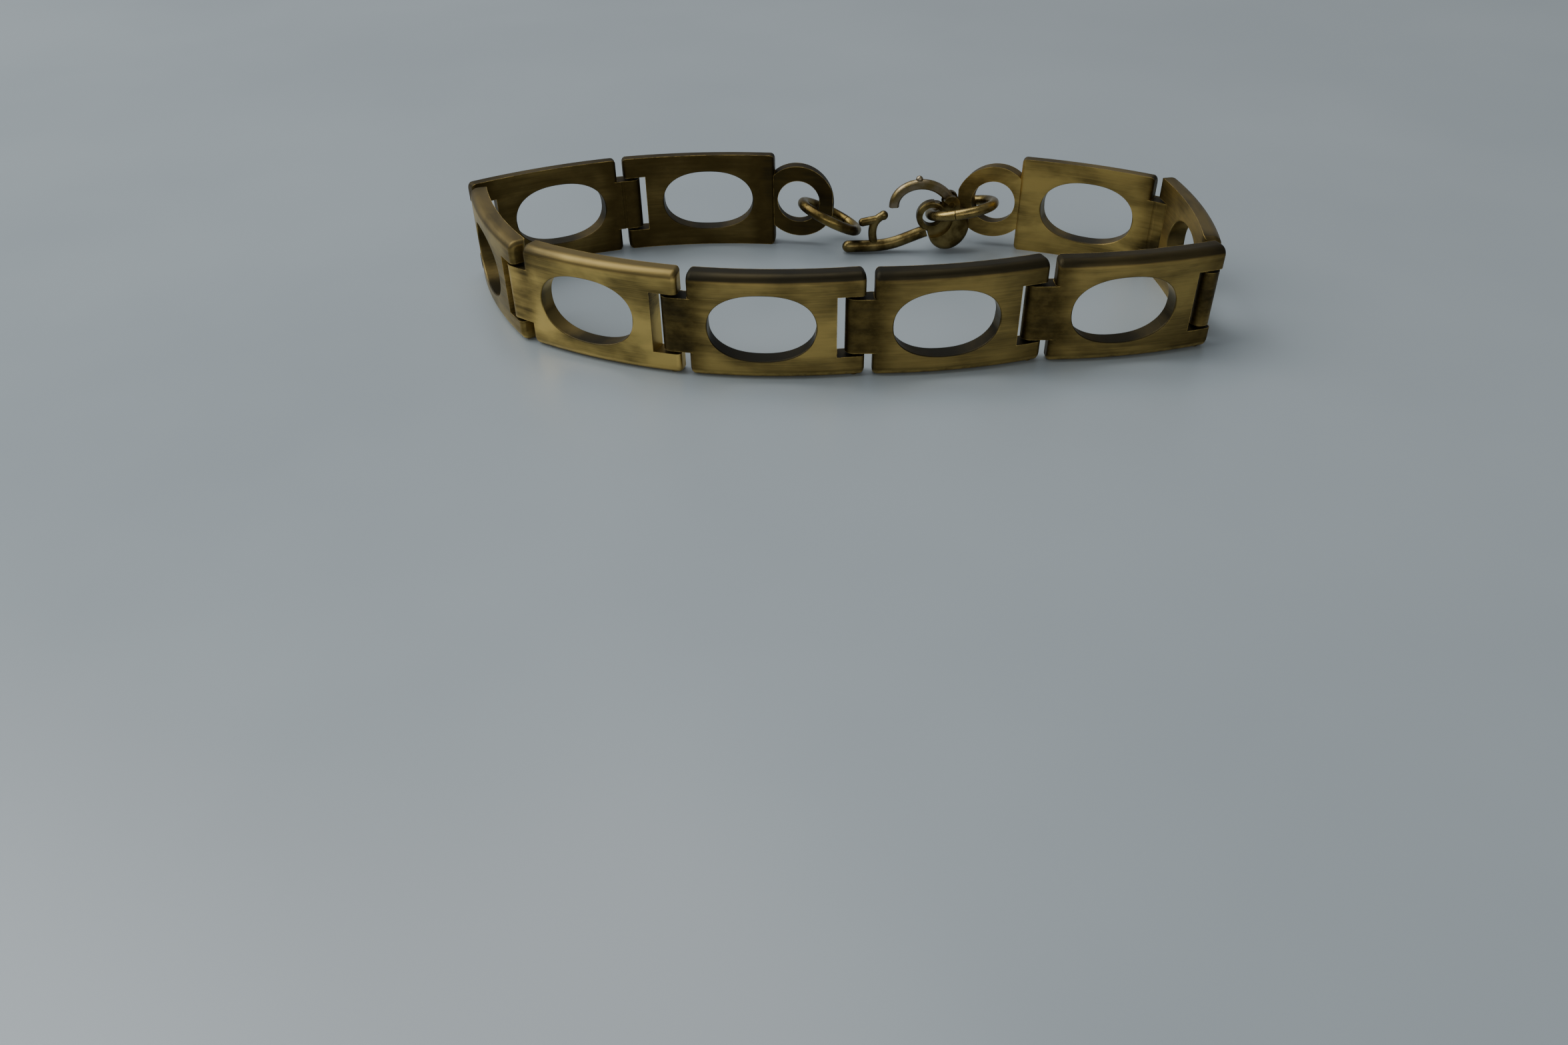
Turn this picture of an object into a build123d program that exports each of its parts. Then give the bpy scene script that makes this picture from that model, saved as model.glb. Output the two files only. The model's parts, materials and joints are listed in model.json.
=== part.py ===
"""Nine-panel hinged bracelet in brass, closed by two jump rings and a claw clasp.

Units are millimetres.  +Z is up, the bracelet stands on its long edges on z = 0
and its front panel faces -Y.  Panels are numbered from the back left, round the
front, to the back right; each one has its fork on the far side of that walk.
"""
from math import asin, copysign, cos, degrees, pi, radians, sin, sqrt
import os

from build123d import *

# ---- panel ---------------------------------------------------------------
PITCH = 18.0            # hinge to hinge, along the chord
HEIGHT = 11.0           # panel width, standing up
THICK = 1.9             # panel thickness
BEND_RADIUS = 50.0      # curve of the panel's middle surface
EDGE_ROUND = 0.95       # long outer edges
END_ROUND = 0.5         # short edges
OVAL_HALF_LONG = 5.35   # window, half length and half height
OVAL_HALF_TALL = 3.5
OVAL_POWER = 2.3        # fullness of the oval: 2 is an ellipse
OVAL_POINTS = 24
OVAL_CENTRE = 8.95      # window centre, from the tongue's hinge
RIM_ROUND = 0.12

# ---- hinge ---------------------------------------------------------------
PIN_RADIUS = 0.42
PIN_PLAY = 0.04         # radial, in the tongue only
PIN_COVER = 1.1         # metal left above the blind pin hole
EAR_REACH = 0.95        # ear end past the pin
NOTCH_DEPTH = 1.7       # pin to the floor of the fork's notch
NOTCH_HEIGHT = 6.45
TONGUE_HEIGHT = 5.8
BODY_START = 1.8        # pin to the shoulders beside the tongue
CREASE_RADIUS = 0.42    # groove behind the rolled knuckle

# ---- end panels ----------------------------------------------------------
SHOULDER = 0.9          # square end of the panel, from the missing hinge
EYELET_OFFSET = 2.8     # shoulder to eyelet centre
EYELET_OUTER = 4.25
EYELET_HOLE = 2.5
EYELET_THICK = 1.4

# ---- shape of the loop ---------------------------------------------------
FRONT_HEADING = -3.2    # panel 5, degrees from +X
BENDS_LEFT = (22.1, 41.4, 89.3, 22.9)    # hinges 4-5, 3-4, 2-3, 1-2
BENDS_RIGHT = (10.8, 0.6, 79.2, 66.0)    # hinges 5-6, 6-7, 7-8, 8-9
FRONT_PANEL = 5
PANEL_COUNT = 9

# ---- jump rings ----------------------------------------------------------
LEFT_RING_RADIUS = 3.6  # to the middle of the wire
RIGHT_RING_RADIUS = 3.8
RING_WIRE = 0.6         # wire radius
RING_SPLIT = 0.1        # cut where the ring was closed
LEFT_RING_SEAT = 0.7    # wire off the eyelet's centre, on the clasp's side
RIGHT_RING_SEAT = 0.4
LEFT_RING_DROP = 22.0   # slope down from the eyelet to the clasp, degrees
LEFT_RING_TURN = -20.0  # turn towards the front
RIGHT_RING_TURN = 194.0
LEFT_RING_LEAN = -18.0  # turn about its own length
RIGHT_RING_LEAN = 14.0

# ---- clasp, in its own plane: u to the base, w up -------------------------
CLASP_YAW = 1.0
EYE = (12.5, 4.5)
EYE_OUTER = 1.85
EYE_HOLE = 1.15
EYE_THICK = 1.2
EYE_RELIEF = 2.4        # thinned round the eye, so the ring can turn
BAR_RADIUS = 0.7
BAR_PATH = ((2.6, 0.78), (5.0, 0.8), (7.6, 1.05), (9.8, 1.8), (11.9, 2.6))
ARM_RADIUS = 0.5
ARM_PATH = ((5.75, 1.0), (5.5, 2.3), (5.65, 3.5), (6.75, 4.6))
SPUR_PATH = ((5.9, 4.1), (5.1, 3.95), (4.3, 3.8))
TIP_RADIUS = 0.56
BASE_CENTRE = (14.5, 3.15)
BASE_HALF = (2.35, 2.7)
BASE_TILT = -25.0
BASE_THICK = 2.4
PIVOT = (14.6, 6.15)
PIVOT_BOSS = 1.0
SLOT_WIDTH = 1.16
GATE_THICK = 0.7
GATE_PLAY = 0.08
GATE_KNUCKLE = 0.78
GATE_PATH = ((14.6, 6.15), (13.5, 7.5), (10.95, 8.3), (8.6, 7.35), (7.95, 5.65))
GATE_RADIUS = 0.6
NUB = (10.8, 8.9)
NUB_RADIUS = 0.42
RIVET_RADIUS = 0.35
RIVET_PLAY = 0.05
SPRING_WIRE = 0.12

CURVE_CENTRE = Axis((PITCH / 2, sqrt(BEND_RADIUS**2 - PITCH**2 / 4), 0), (0, 0, 1))


# ---- panels, built flat on X with the tongue's hinge at the origin ---------
def bend_angle(x):
    """Angle round the curve's centre of a point at chord position x."""
    return degrees(asin((x - PITCH / 2) / BEND_RADIUS))


def curved_slab(x_from, x_to, tall, thick=THICK, rounding=0.0):
    """A slab that follows the panel's curve, centred on half height."""
    profile = Plane.YZ * Rectangle(thick, tall)
    if rounding:
        outer = profile.vertices().group_by(Axis.Y)[0]
        profile = fillet(outer, rounding)
    profile = Pos(PITCH / 2, CURVE_CENTRE.position.Y - BEND_RADIUS, HEIGHT / 2) * profile
    start = bend_angle(x_from)
    face = profile.rotate(CURVE_CENTRE, start)
    return revolve(face, CURVE_CENTRE, bend_angle(x_to) - start)


def across(x, shape):
    """A straight cutter through the panel's face at half height."""
    return extrude(Plane.XZ * Pos(x, HEIGHT / 2) * shape, PITCH / 2, both=True)


def oval():
    """The window's outline, a little fuller than an ellipse."""
    def swell(part):
        return copysign(abs(part) ** (2 / OVAL_POWER), part)

    turns = [2 * pi * k / OVAL_POINTS for k in range(OVAL_POINTS)]
    points = [(OVAL_HALF_LONG * swell(cos(t)), OVAL_HALF_TALL * swell(sin(t))) for t in turns]
    return make_face(Spline(*points, periodic=True))


def rounded_body(x_from, x_to):
    """The panel's main slab, with its short edges rounded."""
    body = curved_slab(x_from, x_to, HEIGHT, rounding=EDGE_ROUND)
    ends = body.faces().sort_by(Axis.X)
    rims = ends[0].edges() + ends[-1].edges()
    return fillet(rims, END_ROUND)


def upright(x, radius, low, high):
    """A vertical cylinder on the hinge line at chord position x."""
    return Pos(x, 0, (low + high) / 2) * Cylinder(radius, high - low)


def cut_fork(body):
    """Open the notch between the two ears and drill for the pin from below."""
    middle = PITCH - NOTCH_DEPTH + BEND_RADIUS / 2
    body -= Pos(middle, 0, HEIGHT / 2) * Box(BEND_RADIUS, 4 * THICK, NOTCH_HEIGHT)
    return body - upright(PITCH, PIN_RADIUS, 0, HEIGHT - PIN_COVER)


def add_tongue(body):
    """The rolled knuckle that turns in the next fork, bored for its pin."""
    low, high = (HEIGHT - TONGUE_HEIGHT) / 2, (HEIGHT + TONGUE_HEIGHT) / 2
    body += curved_slab(0, BODY_START + END_ROUND, TONGUE_HEIGHT)
    body += upright(0, THICK / 2, low, high)
    crease = Pos(0, THICK / 2 + CREASE_RADIUS / 3, 0) * upright(
        THICK / 2 + CREASE_RADIUS, CREASE_RADIUS, low, high)
    return body - crease - upright(0, PIN_RADIUS + PIN_PLAY, low, high)


def cut_window(body):
    """The oval opening, with its two rims eased."""
    body -= across(OVAL_CENTRE, oval())
    near = Vector(OVAL_CENTRE, CURVE_CENTRE.position.Y - BEND_RADIUS, HEIGHT / 2)
    rims = [
        edge for edge in body.edges()
        if edge.geom_type not in (GeomType.LINE, GeomType.CIRCLE)
        and (edge.center(CenterOf.BOUNDING_BOX) - near).length < OVAL_HALF_TALL / 2
    ]
    return fillet(rims, RIM_ROUND)


def eyelet(x_centre, towards):
    """A flat ring on the square end of a panel, following its curve."""
    x_far, x_near = x_centre + towards * EYELET_OUTER, x_centre - towards * EYELET_OUTER
    sheet = curved_slab(min(x_far, x_near), max(x_far, x_near), HEIGHT, EYELET_THICK)
    ring = sheet & across(x_centre, Circle(EYELET_OUTER))
    return ring - across(x_centre, Circle(EYELET_HOLE))


def middle_panel():
    body = cut_fork(rounded_body(BODY_START, PITCH + EAR_REACH))
    return cut_window(add_tongue(body))


def left_end_panel():
    body = cut_window(cut_fork(rounded_body(SHOULDER, PITCH + EAR_REACH)))
    return body + eyelet(SHOULDER - EYELET_OFFSET, -1)


def right_end_panel():
    body = cut_window(add_tongue(rounded_body(BODY_START, PITCH - SHOULDER)))
    return body + eyelet(PITCH - SHOULDER + EYELET_OFFSET, 1)


def hinge_pin():
    return upright(PITCH, PIN_RADIUS, 0, HEIGHT - PIN_COVER)


# ---- the loop --------------------------------------------------------------
def panel_places():
    """Each panel's place, walking out from the front panel along both chains."""
    def step(heading):
        return Vector(PITCH * cos(radians(heading)), PITCH * sin(radians(heading)))

    places = {FRONT_PANEL: (Vector(0, 0), FRONT_HEADING)}
    tongue, heading = places[FRONT_PANEL]
    for count, bend in enumerate(BENDS_LEFT, start=1):
        heading -= bend
        tongue -= step(heading)
        places[FRONT_PANEL - count] = (tongue, heading)
    tongue, heading = places[FRONT_PANEL]
    for count, bend in enumerate(BENDS_RIGHT, start=1):
        tongue += step(heading)
        heading += bend
        places[FRONT_PANEL + count] = (tongue, heading)
    return {
        number: Pos(at.X, at.Y, 0) * Rot(0, 0, turn)
        for number, (at, turn) in places.items()
    }


def eyelet_point(place, x):
    """World position of an eyelet's centre."""
    angle = radians(bend_angle(x))
    local = Pos(
        PITCH / 2 + BEND_RADIUS * sin(angle),
        CURVE_CENTRE.position.Y - BEND_RADIUS * cos(angle),
        HEIGHT / 2,
    )
    return (place * local).position


# ---- jump rings ------------------------------------------------------------
def slope(drop, turn):
    """Unit vector along +X, dropped below level and turned about +Z."""
    flat = cos(radians(drop))
    return Vector(flat * cos(radians(turn)), flat * sin(radians(turn)), -sin(radians(drop)))


def jump_ring(centre, along, lean, radius):
    """A closed wire ring whose plane holds `along` and leans about it."""
    side = Vector(0, 0, 1).cross(along).normalized()
    normal = along.cross(side).normalized().rotate(Axis((0, 0, 0), tuple(along)), lean)
    frame = Plane(origin=centre, x_dir=along, z_dir=normal)
    ring = Torus(radius, RING_WIRE)
    ring -= Rot(0, 0, 60) * Pos(radius, 0, 0) * Box(4 * RING_WIRE, RING_SPLIT, 4 * RING_WIRE)
    return frame.location * ring


# ---- clasp, drawn standing up with u on +X, w on +Z and its faces on Y ------
def at(point, y=0.0):
    return Vector(point[0], y, point[1])


def wire_along(points, radius):
    """Round wire swept through a smooth path of (u, w) points."""
    path = Spline(*[at(p) for p in points])
    return sweep(Plane(origin=path @ 0, z_dir=path % 0) * Circle(radius), path)


def button(point, radius, thick, y=0.0):
    """A short cylinder across the clasp."""
    return Pos(point[0], y, point[1]) * Rot(90, 0, 0) * Cylinder(radius, thick)


def ball(point, radius):
    return Pos(point[0], 0, point[1]) * Sphere(radius)


def clasp_body():
    bar = wire_along(BAR_PATH, BAR_RADIUS) + ball(BAR_PATH[0], BAR_RADIUS)
    arm = wire_along(ARM_PATH, ARM_RADIUS) + ball(ARM_PATH[-1], TIP_RADIUS)
    spur = wire_along(SPUR_PATH, ARM_RADIUS) + ball(SPUR_PATH[-1], ARM_RADIUS)
    lobe = extrude(
        Plane.XZ * Pos(*BASE_CENTRE) * Rot(0, 0, BASE_TILT) * Ellipse(*BASE_HALF),
        BASE_THICK / 2, both=True)
    lobe = fillet(lobe.edges().filter_by(GeomType.ELLIPSE), BASE_THICK / 4)
    eye = button(EYE, EYE_OUTER, EYE_THICK)
    eye = fillet(eye.edges().filter_by(GeomType.CIRCLE), EYE_THICK / 4)
    boss = button(PIVOT, PIVOT_BOSS, BASE_THICK)
    body = lobe + boss + bar + arm + spur + eye
    for side in (-1, 1):
        relief = Pos(EYE[0], side * (EYE_THICK + BASE_THICK) / 2, EYE[1])
        body -= relief * Rot(90, 0, 0) * Cylinder(EYE_RELIEF, BASE_THICK)
    body -= button(EYE, EYE_HOLE, 2 * BASE_THICK)
    reach = GATE_KNUCKLE + 2 * GATE_PLAY
    body -= button(PIVOT, reach, SLOT_WIDTH)
    body -= Pos(PIVOT[0] - reach / 2, 0, PIVOT[1] + reach) * Box(
        3 * reach, SLOT_WIDTH, 2 * reach)
    return body - button(PIVOT, RIVET_RADIUS, 2 * BASE_THICK)


def clasp_gate():
    """The sprung lever: a flat-sided wire on a knuckle, with a thumb nub."""
    width = SLOT_WIDTH - 2 * GATE_PLAY
    lever = wire_along(GATE_PATH, GATE_RADIUS) & Pos(*at(PIVOT)) * Box(
        2 * PITCH, width, 2 * PITCH)
    gate = lever + button(PIVOT, GATE_KNUCKLE, width) + ball(NUB, NUB_RADIUS)
    spare = SLOT_WIDTH - GATE_THICK
    gate -= button(PIVOT, GATE_KNUCKLE + GATE_PLAY, spare, SLOT_WIDTH / 2 - spare / 2)
    return gate - button(PIVOT, RIVET_RADIUS + RIVET_PLAY, 2 * BASE_THICK)


def gate_rivet():
    return button(PIVOT, RIVET_RADIUS, BASE_THICK)


def gate_spring():
    """One turn of spring wire round the rivet, beside the gate's knuckle."""
    beside = SLOT_WIDTH / 2 - (SLOT_WIDTH - GATE_THICK - GATE_PLAY) / 2
    turn = Rot(90, 0, 0) * Torus(RIVET_RADIUS + SPRING_WIRE, SPRING_WIRE)
    return Pos(*at(PIVOT, beside)) * turn


# ---- put everything in its place -------------------------------------------
def bracelet():
    """Every piece by name, where it sits in the closed loop."""
    places = panel_places()
    middle, pin = middle_panel(), hinge_pin()
    panels = {1: left_end_panel(), PANEL_COUNT: right_end_panel()}
    pieces = {}
    for number in range(1, PANEL_COUNT + 1):
        pieces[f"panel_{number}"] = places[number] * panels.get(number, middle)
    for number in range(1, PANEL_COUNT):
        pieces[f"hinge_pin_{number}"] = places[number] * pin

    left_eyelet = eyelet_point(places[1], SHOULDER - EYELET_OFFSET)
    down_left = slope(LEFT_RING_DROP, LEFT_RING_TURN)
    pieces["left_ring"] = jump_ring(
        left_eyelet + down_left * (LEFT_RING_SEAT + LEFT_RING_RADIUS),
        down_left, LEFT_RING_LEAN, LEFT_RING_RADIUS)

    right_eyelet = eyelet_point(places[PANEL_COUNT], PITCH - SHOULDER + EYELET_OFFSET)
    reach = RIGHT_RING_SEAT + 2 * RIGHT_RING_RADIUS
    drop = degrees(asin((HEIGHT / 2 - EYE[1]) / reach))
    down_right = slope(drop, RIGHT_RING_TURN)
    pieces["right_ring"] = jump_ring(
        right_eyelet + down_right * (RIGHT_RING_SEAT + RIGHT_RING_RADIUS),
        down_right, RIGHT_RING_LEAN, RIGHT_RING_RADIUS)

    eye = right_eyelet + down_right * reach
    clasp_place = Pos(eye.X, eye.Y, 0) * Rot(0, 0, CLASP_YAW) * Pos(-EYE[0], 0, 0)
    pieces["clasp_body"] = clasp_place * clasp_body()
    pieces["clasp_gate"] = clasp_place * clasp_gate()
    pieces["gate_rivet"] = clasp_place * gate_rivet()
    pieces["gate_spring"] = clasp_place * gate_spring()
    return pieces


def to_origin(pieces):
    """The move that puts the middle of the whole footprint on the origin."""
    boxes = [piece.bounding_box() for piece in pieces]
    low_x, low_y = min(box.min.X for box in boxes), min(box.min.Y for box in boxes)
    high_x, high_y = max(box.max.X for box in boxes), max(box.max.Y for box in boxes)
    return Pos(-(low_x + high_x) / 2, -(low_y + high_y) / 2, 0)


pieces = bracelet()
home = to_origin(pieces.values())
os.makedirs("parts", exist_ok=True)
for name, piece in pieces.items():
    export_step(home * piece, f"parts/{name}.step")
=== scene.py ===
"""Visual model of the hinged panel bracelet: its materials, table, light and camera."""
import json
import math

import bpy
from mathutils import Matrix, Vector

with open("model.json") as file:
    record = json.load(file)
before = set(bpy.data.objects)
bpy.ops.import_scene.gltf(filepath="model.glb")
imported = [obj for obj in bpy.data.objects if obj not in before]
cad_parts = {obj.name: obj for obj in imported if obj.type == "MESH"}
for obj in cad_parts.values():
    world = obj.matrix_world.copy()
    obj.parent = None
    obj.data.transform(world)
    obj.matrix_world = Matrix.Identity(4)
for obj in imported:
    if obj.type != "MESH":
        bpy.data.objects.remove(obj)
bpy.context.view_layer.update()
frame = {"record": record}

MM = 0.001
PANELS = 9

# Heading of each panel in plan, degrees from +X, for the direction of its brushing.
HEADINGS = {1: -178.9, 2: -156.0, 3: -66.7, 4: -25.3, 5: -3.2, 6: 7.6, 7: 8.2, 8: 87.4, 9: 153.4}
# How much clean brass shows through the patina on each panel: partly real wear, partly painted
# light that sets how bright each whole panel looks.
POLISH_AND_PAINTED_LIGHT = {1: 0.14, 2: 0.16, 3: 0.74, 4: 1.15, 5: 0.74, 6: 0.62, 7: 0.66, 8: 0.84, 9: 0.92}
# How dark the painted shade lies along each panel's upper edge.
TOP_PAINTED_SHADE = {1: 0.60, 2: 0.60, 3: 0.70, 4: 0.80, 5: 0.96, 6: 0.93, 7: 0.88, 8: 0.70, 9: 0.70}

# Half the size of every panel's window.
WINDOW_HALF_LONG = 5.35 * MM
WINDOW_HALF_TALL = 3.5 * MM

# Colours of the metal, from clean to darkest.
BRASS_BRIGHT = (0.78, 0.56, 0.175)
BRASS = (0.37, 0.262, 0.080)
OLIVE = (0.150, 0.112, 0.042)
PATINA = (0.060, 0.041, 0.013)
CHARCOAL = (0.015, 0.014, 0.010)

LEFT_RING_BRASS = (0.20, 0.145, 0.045)
RIGHT_RING_BRASS = (0.26, 0.19, 0.065)
CLASP_BRASS = (0.19, 0.145, 0.055)
GATE_BRASS = (0.23, 0.19, 0.13)
SPRING_STEEL = (0.45, 0.45, 0.43)
SPRING_STEEL_DARK = (0.3, 0.3, 0.29)

TABLE_DARK = (0.212, 0.242, 0.258)
TABLE_PALE = (0.230, 0.261, 0.276)
TABLE_SIZE = 3.0
TABLE_IOR = 1.45

# Clouds on a panel: fineness per metre along, through and up it, then detail and roughness.
HAIRS = ((150, 900, 7000), 3, 0.7)
STROKES = ((110, 500, 2200), 3, 0.6)
SMEARS = ((120, 260, 260), 4, 0.5)
MOTTLE = ((900, 900, 1300), 4, 0.65)
SMEAR_WARP = 0.3
# Nearly all of a cloud's values lie between these.
CLOUD = (0.3, 0.7)
# How far apart in the noise two neighbouring seeds lie, so that no two pieces look alike.
SEED_STEPS = (3.1, 1.7, 2.3)

# Share of each cloud in the dirt, which adds up to 1.
SMEAR_SHARE, STROKE_SHARE, MOTTLE_SHARE = 0.62, 0.22, 0.16
# The extra dirt by each hinge: where it begins and is complete, along the panel from its
# window, and how much there is at either.
TONGUE_DIRT = (-4.4 * MM, -7.6 * MM, 0.0, 0.30)
FORK_DIRT = (6.2 * MM, 9.4 * MM, 0.0, 0.14)
# The dirt at which patina begins and is complete without polish, and how far a panel's polish and
# painted light move it.
PATINA_BEGINS, PATINA_COMPLETE, PATINA_PER_POLISH_AND_LIGHT = 0.18, 0.60, 0.30
# The dirt at which charcoal begins and is complete.
CHARCOAL_DIRT = (0.74, 0.92)
CHARCOAL_MOST = 0.6

# Smear values at which clean and bright patches begin and are complete.
CLEAN_PATCHES = (0.60, 0.30)
BRIGHT_PATCHES = (0.70, 0.36)
# How much of the bright patches, the hair lines and the brass in the brown a panel's polish and
# painted light show.
BRIGHT_PER_POLISH_AND_LIGHT, BRIGHT_OFFSET = 1.4, 0.80
HAIR_LEAST, HAIR_PER_POLISH_AND_LIGHT = 0.35, 0.5
BROWN_PER_POLISH_AND_LIGHT = 0.4

# The window's wall: 1 is an ellipse of the window's size, and the shade fades out beyond it.
WINDOW_RIM = (1.08, 1.01)
WINDOW_SHADE = 0.75

# How far the surface looks up or down where the upper and lower edges begin and are complete.
UPPER_EDGE = (0.14, 0.42)
LOWER_EDGE = (-0.10, -0.50)
LOWER_EDGE_HEIGHT = (-3.9 * MM, -4.6 * MM)

# Radius within which an edge counts as sharp, and so is rubbed bright.
PANEL_EDGE_RADIUS = 0.14 * MM
WIRE_EDGE_RADIUS = 0.10 * MM
# How well the true and the softened surface agree where an edge begins and is complete.
EDGE_AGREEMENT = (0.985, 0.86)
EDGE_SAMPLES = 6
# The mottle values between which the rub on an edge grows, and from how much to how much.
EDGE_RUB = (0.35, 0.6, 0.10, 0.70)
LOWER_EDGE_RUB = (0.3, 0.6, 0.2, 0.7)
WIRE_EDGE_RUB = 0.4

# Wire and turned pieces: a tint in clouds, and a fine mottle in the roughness.
WIRE_CLOUDS = (420, 420, 420)
WIRE_TINT = (0.38, 0.62)
WIRE_MOTTLE = (2600, 2600, 2600)
WIRE_SMOOTHER, WIRE_ROUGHER = 0.06, 0.08

PANEL_ROUGHNESS = (0.34, 0.46)
HAIR_ROUGHNESS = 0.10
UPPER_EDGE_ROUGHNESS = 0.06

PIN_ROUGHNESS = 0.38
TABLE_ROUGHNESS = (0.30, 0.36)
TABLE_CLOUD = (14, 14, 14)

SKY = (0.62, 0.66, 0.70)
SKY_STRENGTH = 0.45
WINDOW_LIGHT = (0.96, 0.98, 1.0)

# Where the photographer stood, and the lens as focal length over picture width.
FOCAL_OVER_WIDTH = 1721.0 / 2352
CAMERA_AT = Vector((-4.509, -118.661, 57.237)) * MM
TILT_DOWN, ROLL, YAW = math.radians(36.80), math.radians(0.82), math.radians(0.21)
CAMERA_CLIP = 0.005


# ---- node helpers ------------------------------------------------------------
class Nodes:
    """A material's node tree, with short calls for what is used often."""

    def __init__(self, name):
        self.material = bpy.data.materials.new(name)
        self.material.use_nodes = True
        self.tree = self.material.node_tree
        self.tree.nodes.clear()
        self.shader = self.add("ShaderNodeBsdfPrincipled")
        out = self.add("ShaderNodeOutputMaterial")
        self.join(self.shader.outputs[0], out.inputs["Surface"])
        self.place = self.add("ShaderNodeTexCoord").outputs["Object"]

    def add(self, kind, **settings):
        node = self.tree.nodes.new(kind)
        for key, value in settings.items():
            setattr(node, key, value)
        return node

    def join(self, source, target):
        self.tree.links.new(source, target)

    def feed(self, socket, value):
        if isinstance(value, bpy.types.NodeSocket):
            self.join(value, socket)
        else:
            socket.default_value = value

    def measure_from(self, centre, turn):
        """Take positions from a point, turned in plan, so patterns follow the piece."""
        node = self.add("ShaderNodeMapping", vector_type="TEXTURE")
        node.inputs["Location"].default_value = centre
        node.inputs["Rotation"].default_value = (0, 0, math.radians(turn))
        self.join(self.place, node.inputs["Vector"])
        self.place = node.outputs[0]

    def axes(self):
        """Position along, through and up the piece."""
        split = self.add("ShaderNodeSeparateXYZ")
        self.join(self.place, split.inputs[0])
        return split.outputs

    def noise(self, per_metre, seed=0.0, detail=4.0, rough=0.55, warp=0.0):
        """Cloudy noise with its own fineness along each axis."""
        spread = self.add("ShaderNodeVectorMath", operation="MULTIPLY_ADD")
        self.join(self.place, spread.inputs[0])
        spread.inputs[1].default_value = per_metre
        spread.inputs[2].default_value = [step * seed for step in SEED_STEPS]
        node = self.add("ShaderNodeTexNoise")
        self.join(spread.outputs[0], node.inputs["Vector"])
        settings = {"Scale": 1.0, "Detail": detail, "Roughness": rough, "Distortion": warp}
        for key, value in settings.items():
            node.inputs[key].default_value = value
        return node.outputs["Fac"]

    def ramp(self, value, low, high, to_low=0.0, to_high=1.0):
        node = self.add("ShaderNodeMapRange", interpolation_type="SMOOTHSTEP")
        for key, v in (("Value", value), ("From Min", low), ("From Max", high),
                       ("To Min", to_low), ("To Max", to_high)):
            self.feed(node.inputs[key], v)
        return node.outputs[0]

    def math(self, operation, a, b):
        node = self.add("ShaderNodeMath", operation=operation)
        self.feed(node.inputs[0], a)
        self.feed(node.inputs[1], b)
        return node.outputs[0]

    def mix(self, amount, a, b):
        node = self.add("ShaderNodeMix", data_type="RGBA")
        self.feed(node.inputs[0], amount)
        for socket, value in ((node.inputs[6], a), (node.inputs[7], b)):
            self.feed(socket, value if isinstance(value, bpy.types.NodeSocket) else (*value, 1))
        return node.outputs[2]

    def upward(self):
        """The surface normal's height, 1 on top and -1 underneath."""
        split = self.add("ShaderNodeSeparateXYZ")
        self.join(self.add("ShaderNodeTexCoord").outputs["Normal"], split.inputs[0])
        return split.outputs["Z"]

    def edges(self, radius):
        """How much the true surface turns away from a softened one: 1 on sharp edges."""
        bevel = self.add("ShaderNodeBevel", samples=EDGE_SAMPLES)
        bevel.inputs["Radius"].default_value = radius
        dot = self.add("ShaderNodeVectorMath", operation="DOT_PRODUCT")
        self.join(bevel.outputs[0], dot.inputs[0])
        self.join(self.add("ShaderNodeNewGeometry").outputs["Normal"], dot.inputs[1])
        return self.ramp(dot.outputs["Value"], *EDGE_AGREEMENT)

    def bump(self, *layers):
        """Stack (height, strength, distance) layers into one normal."""
        normal = None
        for height, strength, distance in layers:
            node = self.add("ShaderNodeBump")
            node.inputs["Strength"].default_value = strength
            node.inputs["Distance"].default_value = distance
            self.join(height, node.inputs["Height"])
            if normal is not None:
                self.join(normal, node.inputs["Normal"])
            normal = node.outputs[0]
        self.join(normal, self.shader.inputs["Normal"])


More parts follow.
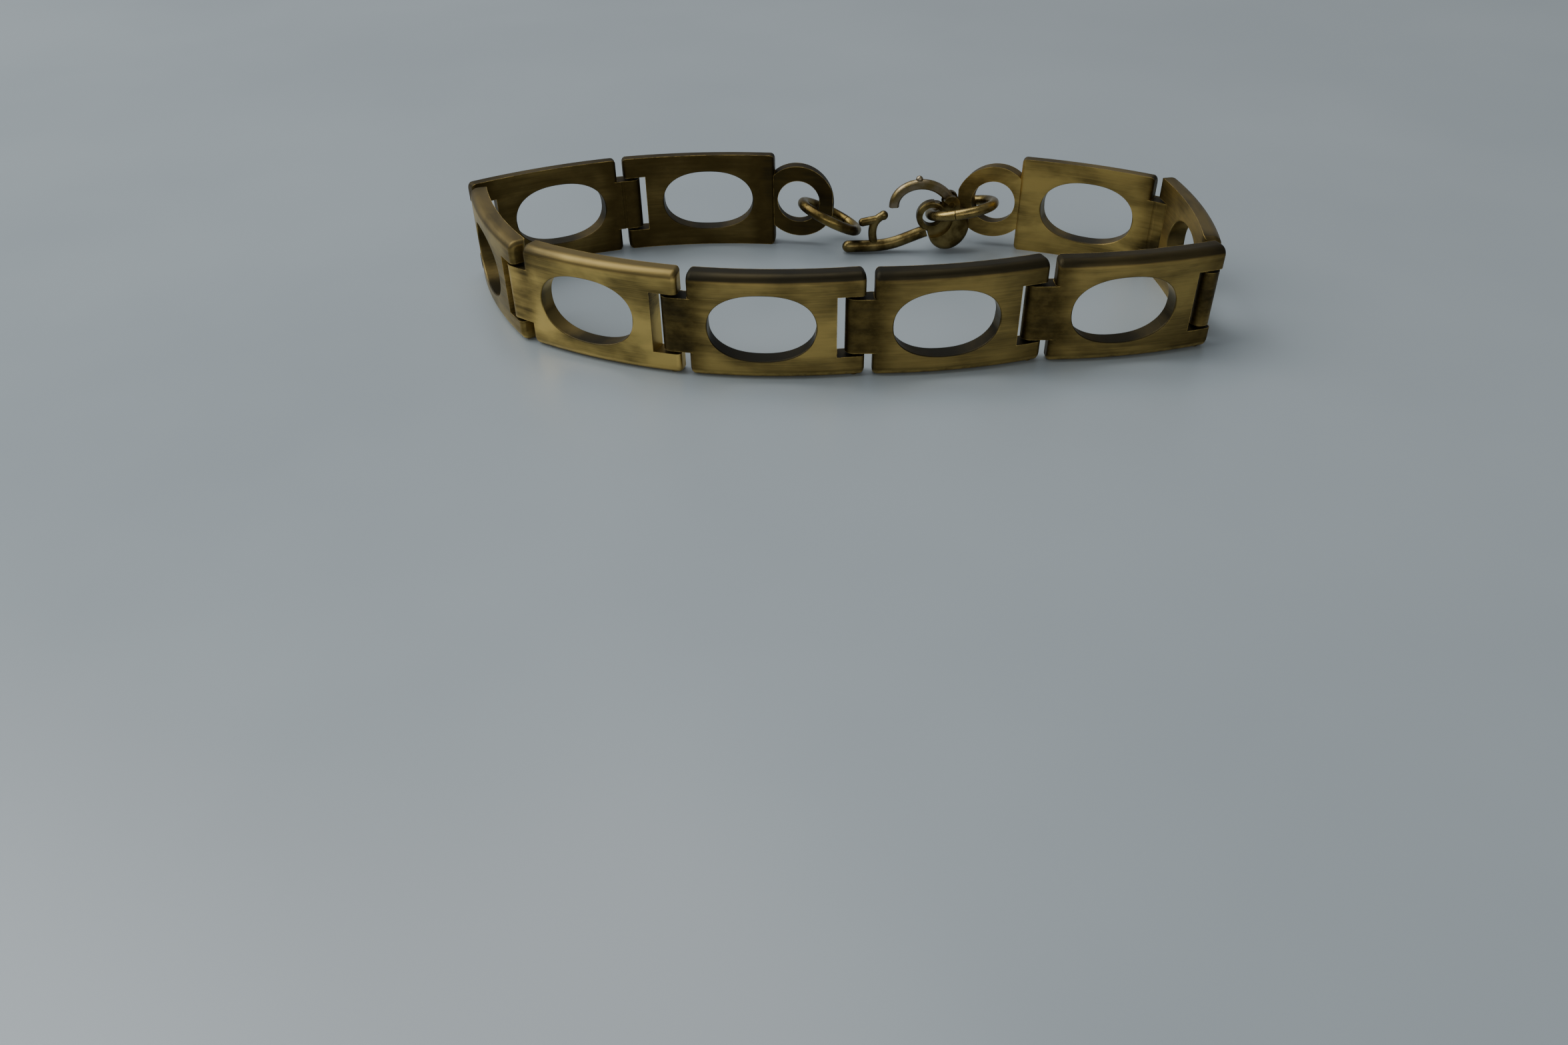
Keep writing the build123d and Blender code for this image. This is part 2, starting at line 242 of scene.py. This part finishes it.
def antique_brass(node, window, turn, polish_and_light, top_painted_shade, seed):
    """Brushed brass under a worn brown patina, darkest by the hinges, with painted shade along the
    top and each panel's brightness partly painted light.
    """
    n = Nodes(f"{node}_brass")
    n.measure_from(window, turn)
    along, _, height = n.axes()

    def cloud(kind, layer, warp=0.0):
        fineness, detail, rough = kind
        return n.noise(fineness, seed + layer, detail, rough, warp)

    hairs = cloud(HAIRS, 0)
    strokes = cloud(STROKES, 5)
    smears = cloud(SMEARS, 1, SMEAR_WARP)
    mottle = cloud(MOTTLE, 2)

    dirt = n.math("MULTIPLY", smears, SMEAR_SHARE)
    dirt = n.math("ADD", dirt, n.math("MULTIPLY", strokes, STROKE_SHARE))
    dirt = n.math("ADD", dirt, n.math("MULTIPLY", mottle, MOTTLE_SHARE))
    hinge_dirt = n.math("ADD", n.ramp(along, *TONGUE_DIRT), n.ramp(along, *FORK_DIRT))
    dirt = n.math("ADD", dirt, hinge_dirt)
    # The panel's polish value is partly painted light: it shifts the patina, the clean brass and
    # the brown for the whole panel.
    shift = PATINA_PER_POLISH_AND_LIGHT * polish_and_light
    aged = n.ramp(dirt, PATINA_BEGINS + shift, PATINA_COMPLETE + shift)

    # Clean metal: hair lines, then cleaner patches, then the brightest ones.
    hairs_seen = HAIR_LEAST + HAIR_PER_POLISH_AND_LIGHT * min(polish_and_light, 1.0)
    patches_seen = min(polish_and_light, 1.0)
    bright_seen = min(max(BRIGHT_PER_POLISH_AND_LIGHT * polish_and_light - BRIGHT_OFFSET, 0.0), 1.0)
    metal = n.mix(n.ramp(hairs, *CLOUD, 0.0, hairs_seen), OLIVE, BRASS)
    metal = n.mix(n.ramp(smears, *CLEAN_PATCHES, 0.0, patches_seen), metal, BRASS)
    metal = n.mix(n.ramp(smears, *BRIGHT_PATCHES, 0.0, bright_seen), metal, BRASS_BRIGHT)

    # Patina over it, charcoal where it is thickest.
    worn = n.mix(BROWN_PER_POLISH_AND_LIGHT * polish_and_light, PATINA, BRASS)
    brown = n.mix(n.ramp(mottle, *CLOUD), PATINA, worn)
    colour = n.mix(aged, metal, brown)
    colour = n.mix(n.ramp(dirt, *CHARCOAL_DIRT, 0.0, CHARCOAL_MOST), colour, CHARCOAL)

    # The wall of the window, just inside its oval.
    across = n.math("POWER", n.math("DIVIDE", along, WINDOW_HALF_LONG), 2.0)
    up = n.math("POWER", n.math("DIVIDE", height, WINDOW_HALF_TALL), 2.0)
    wall = n.ramp(n.math("ADD", across, up), *WINDOW_RIM, 0.0, WINDOW_SHADE)
    colour = n.mix(wall, colour, CHARCOAL)

    # The upper edge darkened with painted shade, the lower edge and every sharp edge rubbed
    # bright.
    facing = n.upward()
    top = n.ramp(facing, *UPPER_EDGE)
    colour = n.mix(n.math("MULTIPLY", top, top_painted_shade), colour, CHARCOAL)
    under = n.math("MULTIPLY", n.ramp(facing, *LOWER_EDGE), n.ramp(mottle, *LOWER_EDGE_RUB))
    under = n.math("MULTIPLY", under, n.ramp(height, *LOWER_EDGE_HEIGHT))
    rub = n.math("MULTIPLY", n.edges(PANEL_EDGE_RADIUS), n.ramp(mottle, *EDGE_RUB))
    colour = n.mix(n.math("MAXIMUM", rub, under), colour, BRASS_BRIGHT)
    n.join(colour, n.shader.inputs["Base Color"])

    n.shader.inputs["Metallic"].default_value = 1.0
    rough = n.ramp(aged, 0, 1, *PANEL_ROUGHNESS)
    rough = n.math("ADD", rough, n.math("MULTIPLY", hairs, HAIR_ROUGHNESS))
    rough = n.math("ADD", rough, n.math("MULTIPLY", top, UPPER_EDGE_ROUGHNESS))
    n.join(rough, n.shader.inputs["Roughness"])
    n.bump((hairs, 0.16, 0.02 * MM), (mottle, 0.12, 0.03 * MM), (smears, 0.10, 0.06 * MM))
    return n.material


def plain_metal(name, colour, tint, rough, seed):
    """Drawn wire or turned metal: slight colour clouds, fine mottling, rubbed edges."""
    n = Nodes(name)
    clouds = n.noise(WIRE_CLOUDS, seed)
    mottle = n.noise(WIRE_MOTTLE, seed + 1, detail=3, rough=0.6)
    base = n.mix(n.ramp(clouds, *WIRE_TINT), colour, tint)
    base = n.mix(n.math("MULTIPLY", n.edges(WIRE_EDGE_RADIUS), WIRE_EDGE_RUB), base, BRASS)
    n.join(base, n.shader.inputs["Base Color"])
    n.shader.inputs["Metallic"].default_value = 1.0
    uneven = n.ramp(mottle, *CLOUD, rough - WIRE_SMOOTHER, rough + WIRE_ROUGHER)
    n.join(uneven, n.shader.inputs["Roughness"])
    n.bump((mottle, 0.2, 0.02 * MM), (clouds, 0.2, 0.05 * MM))
    return n.material


def tabletop():
    """Pale, slightly glossy and barely clouded."""
    n = Nodes("tabletop")
    smudge = n.noise(TABLE_CLOUD)
    n.join(n.mix(n.ramp(smudge, *CLOUD), TABLE_DARK, TABLE_PALE), n.shader.inputs["Base Color"])
    n.join(n.ramp(smudge, *CLOUD, *TABLE_ROUGHNESS), n.shader.inputs["Roughness"])
    n.shader.inputs["IOR"].default_value = TABLE_IOR
    return n.material


def dress(node, material):
    """Give every material slot of a CAD node the same material."""
    data = bpy.data.objects[node].data
    if not data.materials:
        data.materials.append(material)
    for index in range(len(data.materials)):
        data.materials[index] = material


# ---- dress the CAD nodes -------------------------------------------------------
windows = {
    opening["name"]: (Vector(opening["box_m"][0]) + Vector(opening["box_m"][1])) / 2
    for opening in frame["record"]["physics"]["openings"]
}
for number in range(1, PANELS + 1):
    panel = f"panel_{number}"
    dress(panel, antique_brass(
        panel, windows[f"window_{number}"], HEADINGS[number],
        POLISH_AND_PAINTED_LIGHT[number], TOP_PAINTED_SHADE[number], 3 * number))
for number in range(1, PANELS):
    dress(f"hinge_pin_{number}", plain_metal(
        f"pin_brass_{number}", OLIVE, PATINA, PIN_ROUGHNESS, number))
for node, name, colour, tint, rough, seed in (
    ("left_ring", "ring_brass_left", LEFT_RING_BRASS, PATINA, 0.33, 21),
    ("right_ring", "ring_brass_right", RIGHT_RING_BRASS, OLIVE, 0.30, 22),
    ("clasp_body", "clasp_brass", CLASP_BRASS, PATINA, 0.36, 23),
    ("clasp_gate", "gate_brass", GATE_BRASS, OLIVE, 0.38, 24),
    ("gate_rivet", "rivet_brass", OLIVE, PATINA, 0.35, 25),
    ("gate_spring", "spring_steel", SPRING_STEEL, SPRING_STEEL_DARK, 0.3, 26),
):
    dress(node, plain_metal(name, colour, tint, rough, seed))

# ---- table, light and camera ---------------------------------------------------
bpy.ops.mesh.primitive_plane_add(size=TABLE_SIZE, location=(0, 0, 0))
table = bpy.context.object
table.name = "tabletop"
table.data.materials.append(tabletop())


def softbox(name, where, size, watts, colour=(1, 1, 1)):
    """A rectangular studio light turned towards the bracelet."""
    light = bpy.data.lights.new(name, "AREA")
    light.shape = "RECTANGLE"
    light.size, light.size_y = size
    light.energy = watts
    light.color = colour
    lamp = bpy.data.objects.new(name, light)
    lamp.location = where
    lamp.rotation_euler = (-Vector(where)).to_track_quat("-Z", "Y").to_euler()
    bpy.context.collection.objects.link(lamp)


softbox("window_left", (-0.55, 0.05, 0.50), size=(0.6, 0.5), watts=4.8, colour=WINDOW_LIGHT)
softbox("front_fill", (0.10, -0.75, 0.35), size=(0.9, 0.3), watts=1.5)
softbox("overhead", (-0.20, 0.20, 0.75), size=(0.7, 0.5), watts=4.2)

world = bpy.data.worlds.new("studio")
world.use_nodes = True
background = world.node_tree.nodes["Background"]
background.inputs["Color"].default_value = (*SKY, 1)
background.inputs["Strength"].default_value = SKY_STRENGTH
bpy.context.scene.world = world

lens = bpy.data.cameras.new("camera")
lens.lens = lens.sensor_width * FOCAL_OVER_WIDTH
lens.clip_start = CAMERA_CLIP
camera = bpy.data.objects.new("camera", lens)
bpy.context.collection.objects.link(camera)
camera.matrix_world = (
    Matrix.Translation(CAMERA_AT)
    @ Matrix.Rotation(YAW, 4, "Z")
    @ Matrix.Rotation(math.pi / 2 - TILT_DOWN, 4, "X")
    @ Matrix.Rotation(-ROLL, 4, "Z")
)
bpy.context.scene.camera = camera
